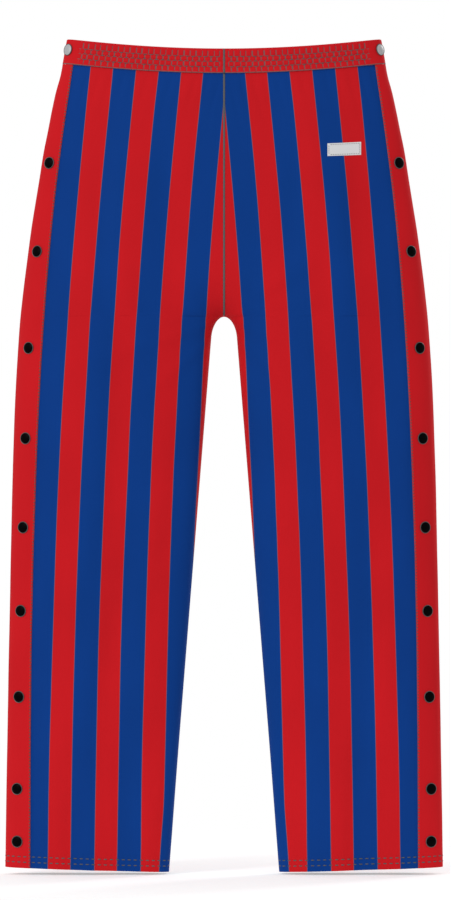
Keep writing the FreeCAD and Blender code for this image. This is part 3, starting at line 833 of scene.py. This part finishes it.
# ------------------------------------------------------------------ threads
def stitches(name, lines, radius=0.62, sides=6):
    """lines: (start, end, outward) in mm, one for each stitch. A stitch is a small capsule that dips into the cloth."""
    verts, faces = [], []
    for p, r, n in lines:
        p, r, n = np.array(p), np.array(r), np.array(n)
        t = r - p
        ln = np.linalg.norm(t)
        t = t / ln
        n = n - t * n.dot(t)
        n /= np.linalg.norm(n)
        b = np.cross(t, n)
        prof = [(0.0, 0.35, -0.55), (0.14, 0.85, -0.05), (0.5, 1.0, 0.12), (0.86, 0.85, -0.05), (1.0, 0.35, -0.55)]
        base = len(verts)
        for u, rad, up in prof:
            c = p + t * ln * u + n * up * radius
            for k in range(sides):
                a = 2 * math.pi * k / sides
                verts.append((c + (b * math.cos(a) + n * math.sin(a)) * radius * rad) / 1000.0)
        for i in range(len(prof) - 1):
            for k in range(sides):
                k2 = (k + 1) % sides
                faces.append((base + i * sides + k, base + i * sides + k2, base + (i + 1) * sides + k2, base + (i + 1) * sides + k))
        faces.append(tuple(base + k for k in reversed(range(sides))))
        last = base + (len(prof) - 1) * sides
        faces.append(tuple(last + k for k in range(sides)))
    me = bpy.data.meshes.new(name)
    me.from_pydata([tuple(v) for v in verts], [], faces)
    me.update()
    me.shade_smooth()
    ob = bpy.data.objects.new(name, me)
    bpy.context.scene.collection.objects.link(ob)
    ob.data.materials.append(M_THREAD)
    return ob


def at(s, q, off):
    p = row(s, np.array([q]), off)[0]
    nx, ny = out_dir(s, np.array([q]))
    return p, np.array([nx[0], ny[0], 0.0])


def flip_x(lines, sg):
    if sg > 0:
        return lines
    f = np.array([-1.0, 1.0, 1.0])
    return [(p * f, r * f, n * f) for p, r, n in lines]


def panel_sampler(side, front):
    """Points on the folded panel's outer face, by level and share of the arc."""
    o, qq, ss = PANELS[(side, front)]
    lv = ss[:, 0]

    def f(s, q):
        i = int(np.clip(np.searchsorted(-lv, -s) - 1, 0, len(lv) - 2))
        t = (s - lv[i]) / (lv[i + 1] - lv[i])
        a = np.array([np.interp(q, qq[i], o[i][:, c]) for c in range(3)]) if qq[i][0] < qq[i][-1] else \
            np.array([np.interp(q, qq[i][::-1], o[i][::-1, c]) for c in range(3)])
        b = np.array([np.interp(q, qq[i + 1], o[i + 1][:, c]) for c in range(3)])
        p = a + (b - a) * t
        nx, ny = out_dir(s, np.array([q if front else -q]))
        return p, np.array([nx[0], ny[0], 0.0])
    return f


for side, sg in SIDES.items():
    # the line that sews the front placket down
    lines, s = [], -34.5
    while s > -OUTSEAM + 3:
        q1, q2 = q_sewn(s) - 0.8, q_sewn(s - 2.3) - 0.8
        p, n = at(s, q1, 0.05 + T_PLACKET - 0.15)
        r, _ = at(s - 2.3, q2, 0.05 + T_PLACKET - 0.15)
        lines.append((p, r, n))
        s -= 3.9
    ob = stitches("placket_topstitch_" + side, flip_x(lines, sg))
    flap_blend(ob)

    # hem, two rows, front and back, on the placket too
    for front in (True, False):
        smp = panel_sampler(side, front)
        lines = []
        for up in (7.6, 14.6):
            s = -OUTSEAM + up
            q_end = length(s) - 3.0
            q = (q_sewn(s) + 2.0) if front else -Q_BACK + 3.0
            while q < q_end - 4:
                p, n = smp(s, q)
                r, _ = smp(s, q + 4.6)
                lines.append((p + n * 0.12, r + n * 0.12, n))
                q += 7.7
        if front:
            for up in (7.6, 14.6):
                s = -OUTSEAM + up
                q = 0.5
                while q < q_sewn(s) - 5.0:
                    p, n = at(s, q, 0.05 + T_PLACKET + 0.1)
                    r, _ = at(s, q + 4.6, 0.05 + T_PLACKET + 0.1)
                    lines.append((p, r, n))
                    q += 7.7
        ob = stitches("%s_hem_stitches_%s" % ("front" if front else "back", side), flip_x(lines, sg), radius=0.72)
        if front:
            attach(ob, "pants_body")
        else:
            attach(ob, side + "_back_leg")

    # waistband rows
    for front in (True, False):
        lines = []
        for idx in (1, 2, 3):
            h = BAND_ROWS[idx]
            s = -BAND_H * (1 - h)
            q = (q_sewn(s) + 4.0) if front else -(length(s) - 2.0)
            end = length(s) - 2.5 if front else -30.0
            while q < end - 6.0:
                jit = 0.5 * math.sin(q * 1.3 + idx)
                off = 1.5 - 0.12
                p, n = at(s, q, off)
                r, _ = at(s, q + 6.0, off)
                dz = np.array([0, 0, 0.35 * jit])
                lines.append((p + dz, r - dz, n))
                q += PUCKER
        ob = stitches("%s_waistband_stitches_%s" % ("front" if front else "back", side), flip_x(lines, sg), radius=0.55)
        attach(ob, "front_flap" if front else "pants_body")


# ------------------------------------------------------------------ centre seams: a cover stitch over the join
def seam_cord(name, front, s_top, s_low, off_fn, radius=1.3):
    verts, faces = [], []
    s, n_side = s_top, 8
    pts = []
    n_pts = int((s_top - s_low) / 2.0) + 2
    for s in np.linspace(s_top, s_low, n_pts):
        x, y = flat_pt(s, np.array([length(s) if front else -length(s)]))
        z = s + float(rise(s, np.array([0.0]))[0])
        sgn = -1 if front else 1
        pts.append((0.0, float(y[0]) + sgn * off_fn(s), z))
    pts = np.array(pts)
    tan = np.gradient(pts, axis=0)
    tan /= np.linalg.norm(tan, axis=1, keepdims=True)
    for i, (p, t) in enumerate(zip(pts, tan)):
        b = np.array([1.0, 0, 0])
        n = np.cross(t, b)
        rad = radius * (1.0 + 0.10 * math.cos(i * math.pi))
        for k in range(n_side):
            a = 2 * math.pi * k / n_side
            verts.append((p + b * math.cos(a) * rad + n * math.sin(a) * rad * 0.45) / 1000.0)
    m = len(pts)
    for i in range(m - 1):
        for k in range(n_side):
            k2 = (k + 1) % n_side
            faces.append((i * n_side + k, (i + 1) * n_side + k, (i + 1) * n_side + k2, i * n_side + k2))
    faces.append(tuple(range(n_side)))
    faces.append(tuple((m - 1) * n_side + k for k in reversed(range(n_side))))
    me = bpy.data.meshes.new(name)
    me.from_pydata([tuple(v) for v in verts], [], faces)
    me.update()
    me.shade_smooth()
    ob = bpy.data.objects.new(name, me)
    bpy.context.scene.collection.objects.link(ob)
    ob.data.materials.append(M_THREAD)
    return ob


ob = seam_cord("front_centre_seam", True, -32.0, Z_CROTCH + 1.5, lambda s: 0.3)
flap_blend(ob)
ob = seam_cord("front_band_seam", True, -1.0, -31.6, lambda s: 1.75)
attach(ob, "front_flap")
ob = seam_cord("back_centre_seam", False, -32.0, Z_CROTCH + 1.5, lambda s: 0.3)
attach(ob, "pants_body")
ob = seam_cord("back_band_seam", False, -1.0, -31.6, lambda s: 1.75)
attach(ob, "pants_body")


# ------------------------------------------------------------------ snaps
def lathe(profile, n=40):
    """profile: (radius, height, material index) from the axis round to the axis again."""
    verts, faces, mats = [], [], []
    rings = []
    for r, z, _ in profile:
        if r < 1e-6:
            rings.append([len(verts)])
            verts.append((0, 0, z))
        else:
            rings.append(list(range(len(verts), len(verts) + n)))
            verts += [(r * math.cos(2 * math.pi * k / n), r * math.sin(2 * math.pi * k / n), z) for k in range(n)]
    for i in range(len(profile) - 1):
        a, b = rings[i], rings[i + 1]
        for k in range(n):
            k2 = (k + 1) % n
            if len(a) == 1:
                faces.append((a[0], b[k2], b[k]))
            elif len(b) == 1:
                faces.append((a[k], a[k2], b[0]))
            else:
                faces.append((a[k], a[k2], b[k2], b[k]))
            mats.append(profile[i][2])
    return verts, faces, mats


def smooth_profile(keys, per=3):
    """Rounds a lathe profile with small extra points."""
    out = []
    for i, (r, z, m) in enumerate(keys):
        if 0 < i < len(keys) - 1 and per:
            pr, pz, _ = keys[i - 1]
            nr, nz, _ = keys[i + 1]
            for t in (0.28, 0.0, -0.28):
                if t > 0:
                    out.append((r + (pr - r) * t, z + (pz - z) * t, keys[i - 1][2]))
                elif t < 0:
                    out.append((r - (nr - r) * t, z - (nz - z) * t, m))
                else:
                    qr = r * 0.72 + 0.14 * (r + (pr - r) * 0.28) + 0.14 * (r + (nr - r) * 0.28)
                    qz = z * 0.72 + 0.14 * (z + (pz - z) * 0.28) + 0.14 * (z + (nz - z) * 0.28)
                    out.append((qr, qz, m))
        else:
            out.append((r, z, m))
    return out


R = 7.8
# heights are measured out from the panel's surface; the placket's face is at 2.05
CAP_P = smooth_profile([(0, 1.9, 1), (1.7, 1.9, 1), (5.9, 1.7, 1), (6.7, 1.75, 1), (R, 2.35, 1), (R - 0.15, 2.95, 1),
                        (R - 0.55, 3.2, 1), (R - 1.0, 2.95, 0), (R - 1.5, 3.1, 0), (R - 3.4, 3.8, 0),
                        (1.8, 4.2, 0), (0, 4.3, 0)])
SOCKET_P = smooth_profile([(0, -0.3, 0), (2.7, -0.3, 0), (2.7, -1.1, 0), (3.6, -1.15, 0), (5.0, -1.05, 0),
                           (5.5, -0.7, 0), (5.4, -0.15, 0), (5.0, 0.1, 0), (0, 0.1, 0)])
STUD_P = smooth_profile([(0, -3.9, 0), (1.5, -3.9, 0), (1.5, -1.9, 0), (4.6, -1.9, 0), (4.8, -1.65, 0),
                         (2.6, -1.6, 0), (1.75, -1.45, 0), (1.95, -1.05, 0), (1.6, -0.74, 0), (0, -0.7, 0)])
RING_P = smooth_profile([(1.6, -3.75, 0), (5.0, -3.65, 0), (5.2, -4.15, 0), (4.8, -4.65, 0), (2.4, -4.65, 0), (1.6, -4.25, 0)])


def snap_frame(z, x):
    q = q_of_x(z, x)
    px, py = flat_pt(z, np.array([q]))
    nx, ny = out_dir(z, np.array([q]), 3.0)
    pz = z + float(rise(z, px)[0])
    out = Vector((float(nx[0]), float(ny[0]), 0.0))

    def at(dz, dq):
        ax, ay = flat_pt(z + dz, np.array([q + dq]))
        return Vector((float(ax[0]), float(ay[0]), z + dz + float(rise(z + dz, ax)[0])))

    n = (at(3.0, 0.0) - at(-3.0, 0.0)).cross(at(0.0, 3.0) - at(0.0, -3.0)).normalized()
    if n.dot(out) < 0:
        n = -n                                                   # square to the leaning cloth
    rot = Vector((0, 0, 1)).rotation_difference(n).to_matrix()
    return Vector((float(px[0]), float(py[0]), pz)), rot


def snap_piece(name, proto, spots, sg, mats, closed_ring=False):
    verts, faces, idx = [], [], []
    v0, f0, m0 = proto
    for z, x in spots:
        p, rot = snap_frame(z, x)
        base = len(verts)
        for v in v0:
            w = p + rot @ Vector(v)
            verts.append((sg * w.x / 1000.0, w.y / 1000.0, w.z / 1000.0))
        for f in f0:
            g = [base + k for k in f]
            faces.append(tuple(g) if sg > 0 else tuple(reversed(g)))
        idx += m0
    me = bpy.data.meshes.new(name)
    me.from_pydata(verts, [], faces)
    me.update()
    for m in mats:
        me.materials.append(m)
    me.polygons.foreach_set("material_index", np.array(idx, np.int32))
    me.shade_smooth()
    me.set_sharp_from_angle(angle=math.radians(48))
    me.validate()
    ob = bpy.data.objects.new(name, me)
    bpy.context.scene.collection.objects.link(ob)
    return ob


CAP = lathe(CAP_P)
SOCKET = lathe(SOCKET_P, 32)
STUD = lathe(STUD_P, 32)
RING = lathe(RING_P + [RING_P[0]], 32)
spots = list(zip(SNAP_Z, SNAP_X))
for side, sg in SIDES.items():
    for k, spot in enumerate(spots):
        nm = "snap_cap_%d_%s" % (k + 1, side)
        ob = snap_piece(nm, CAP, [spot], sg, [M_BLACK, M_RIM])
        so = snap_piece("snap_socket_%d_%s" % (k + 1, side), SOCKET, [spot], sg, [M_NICKEL])
        if k == 0:
            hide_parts("hip_snap_caps_" + side)
            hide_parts("hip_snap_sockets_" + side)
        if k == 2:
            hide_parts("leg_snap_caps_" + side)
            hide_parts("leg_snap_sockets_" + side)
        for piece in (ob, so):
            if k == 1:
                flap_blend(piece)
            else:
                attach(piece, "front_flap" if k < 2 else "pants_body")
        st = snap_piece("snap_stud_%d_%s" % (k + 1, side), STUD, [spot], sg, [M_NICKEL])
        rg = snap_piece("snap_ring_%d_%s" % (k + 1, side), RING, [spot], sg, [M_NICKEL])
        for piece, what in ((st, "studs"), (rg, "rings")):
            if k == 0:
                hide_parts("hip_snap_%s_%s" % (what, side))
            if k == 3:
                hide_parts("leg_snap_%s_%s" % (what, side))
            if k < 2:
                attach(piece, "pants_body")
            else:
                leg_blend(piece)
    w = [WAIST_SNAP]
    for nm, proto, mats, cad, body in (("waist_cap_", CAP, [M_SATIN, M_RIM], "waist_snap_cap_", "front_flap"),
                                       ("waist_socket_", SOCKET, [M_NICKEL], "waist_snap_socket_", "front_flap"),
                                       ("waist_stud_", STUD, [M_NICKEL], "waist_snap_stud_", "pants_body"),
                                       ("waist_ring_", RING, [M_NICKEL], "waist_snap_ring_", "pants_body")):
        ob = snap_piece(nm + side, proto, w, sg, mats)
        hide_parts(cad + side)
        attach(ob, body)

# ------------------------------------------------------------------ labels
smp = panel_sampler("left", True)
hs = np.linspace(LABEL_Z + LABEL_H / 2 + 2.2, LABEL_Z - LABEL_H / 2 + 2.2, 9)
o, i, us, vs = [], [], [], []
for s in hs:
    qa, qb = q_of_x(s, LABEL_X + LABEL_W / 2), q_of_x(s, LABEL_X - LABEL_W / 2)
    ro, ri = [], []
    for q in np.linspace(qa, qb, 19):
        e = min((q - qa), (qb - q), abs(s - hs[0]) + 0.4, abs(s - hs[-1]) + 0.4)
        p, n = smp(s, q)
        ro.append(p + n * (0.35 + 0.35 * min(e / 1.2, 1.0)))
        ri.append(p + n * 0.04)
    o.append(ro)
    i.append(ri)
lab = shell_mesh("hip_label_tab", np.array(o), np.array(i), {})
put(lab, M_LABEL, "label_grey", "hip_label")
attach(lab, "front_flap")
lines = []
for s in (hs[0] - 1.8, hs[-1] + 1.8):
    qa, qb = q_of_x(s, LABEL_X + LABEL_W / 2) + 2.0, q_of_x(s, LABEL_X - LABEL_W / 2) - 2.0
    q = qa
    while q < qb - 2.0:
        p, n = smp(s, q)
        r, _ = smp(s, q + 2.0)
        lines.append((p + n * 0.75, r + n * 0.75, n))
        q += 3.0
for end in (0, 1):
    s = hs[0] - 3.0
    while s > hs[-1] + 4.0:
        def edge(s):
            return q_of_x(s, LABEL_X + LABEL_W / 2) + 1.8 if end == 0 else q_of_x(s, LABEL_X - LABEL_W / 2) - 1.8
        p, n = smp(s, edge(s))
        r, _ = smp(s - 2.0, edge(s - 2.0))
        lines.append((p + n * 0.75, r + n * 0.75, n))
        s -= 3.0
ob = stitches("hip_label_stitches", lines, radius=0.28)
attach(ob, "front_flap")
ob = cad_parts["care_label"]
ob.data.materials.clear()
ob.data.materials.append(M_CARE)

# ------------------------------------------------------------------ floor, light, camera
lo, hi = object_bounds()
me = bpy.data.meshes.new("floor")
me.from_pydata([(-1, -1, 0), (1, -1, 0), (1, 1, 0), (-1, 1, 0)], [], [(0, 1, 2, 3)])
floor = bpy.data.objects.new("floor", me)
floor.location = (0, 0, lo[2] - 0.003)
bpy.context.scene.collection.objects.link(floor)
m, nt, bsdf = material("floor_white")
bsdf.inputs["Base Color"].default_value = (0.72, 0.72, 0.72, 1)
bsdf.inputs["Emission Color"].default_value = (1, 1, 1, 1)
bsdf.inputs["Emission Strength"].default_value = 0.38
bsdf.inputs["Roughness"].default_value = 0.95
bsdf.inputs["Specular IOR Level"].default_value = 0.0
tc = nt.nodes.new("ShaderNodeTexCoord")
ln = nt.nodes.new("ShaderNodeVectorMath")
ln.operation = "LENGTH"
nt.links.new(tc.outputs["Object"], ln.inputs[0])
fade = nt.nodes.new("ShaderNodeMapRange")
fade.interpolation_type = "SMOOTHSTEP"
fade.inputs["From Min"].default_value, fade.inputs["From Max"].default_value = 0.25, 0.95
nt.links.new(ln.outputs["Value"], fade.inputs["Value"])
clear = nt.nodes.new("ShaderNodeBsdfTransparent")
blend_sh = nt.nodes.new("ShaderNodeMixShader")
nt.links.new(fade.outputs[0], blend_sh.inputs[0])
nt.links.new(bsdf.outputs[0], blend_sh.inputs[1])
nt.links.new(clear.outputs[0], blend_sh.inputs[2])
nt.links.new(blend_sh.outputs[0], nt.nodes["Material Output"].inputs["Surface"])
me.materials.append(m)

world = bpy.data.worlds.new("studio")
bpy.context.scene.world = world
world.use_nodes = True
wn = world.node_tree
bg = wn.nodes["Background"]
bg.inputs[0].default_value = (1, 1, 1, 1)
lp = wn.nodes.new("ShaderNodeLightPath")
mx = wn.nodes.new("ShaderNodeMath")
mx.operation = "MULTIPLY_ADD"
mx.inputs[1].default_value, mx.inputs[2].default_value = 0.25, 0.75        # soft fill on the cloth, a white surround
wn.links.new(lp.outputs["Is Camera Ray"], mx.inputs[0])
wn.links.new(mx.outputs[0], bg.inputs[1])


def area(name, loc, target, size, power):
    d = bpy.data.lights.new(name, "AREA")
    d.size, d.energy = size, power
    ob = bpy.data.objects.new(name, d)
    ob.location = loc
    ob.rotation_euler = (Vector(target) - Vector(loc)).to_track_quat("-Z", "Y").to_euler()
    bpy.context.scene.collection.objects.link(ob)


area("key", (-3.0, -3.4, 1.6), (0, 0, -0.5), 1.0, 78.0)
area("back_key", (3.0, 3.4, 1.6), (0, 0, -0.5), 1.0, 78.0)

cam = bpy.data.cameras.new("camera")
cam.lens, cam.sensor_width = 250.0, 36.0
cam.clip_end = 60.0
co = bpy.data.objects.new("camera", cam)
co.location = (0.0018, -8.016, -0.5263)
co.rotation_euler = (math.radians(90), 0, 0)
bpy.context.scene.collection.objects.link(co)
bpy.context.scene.camera = co
bpy.context.scene.view_settings.view_transform = "Standard"
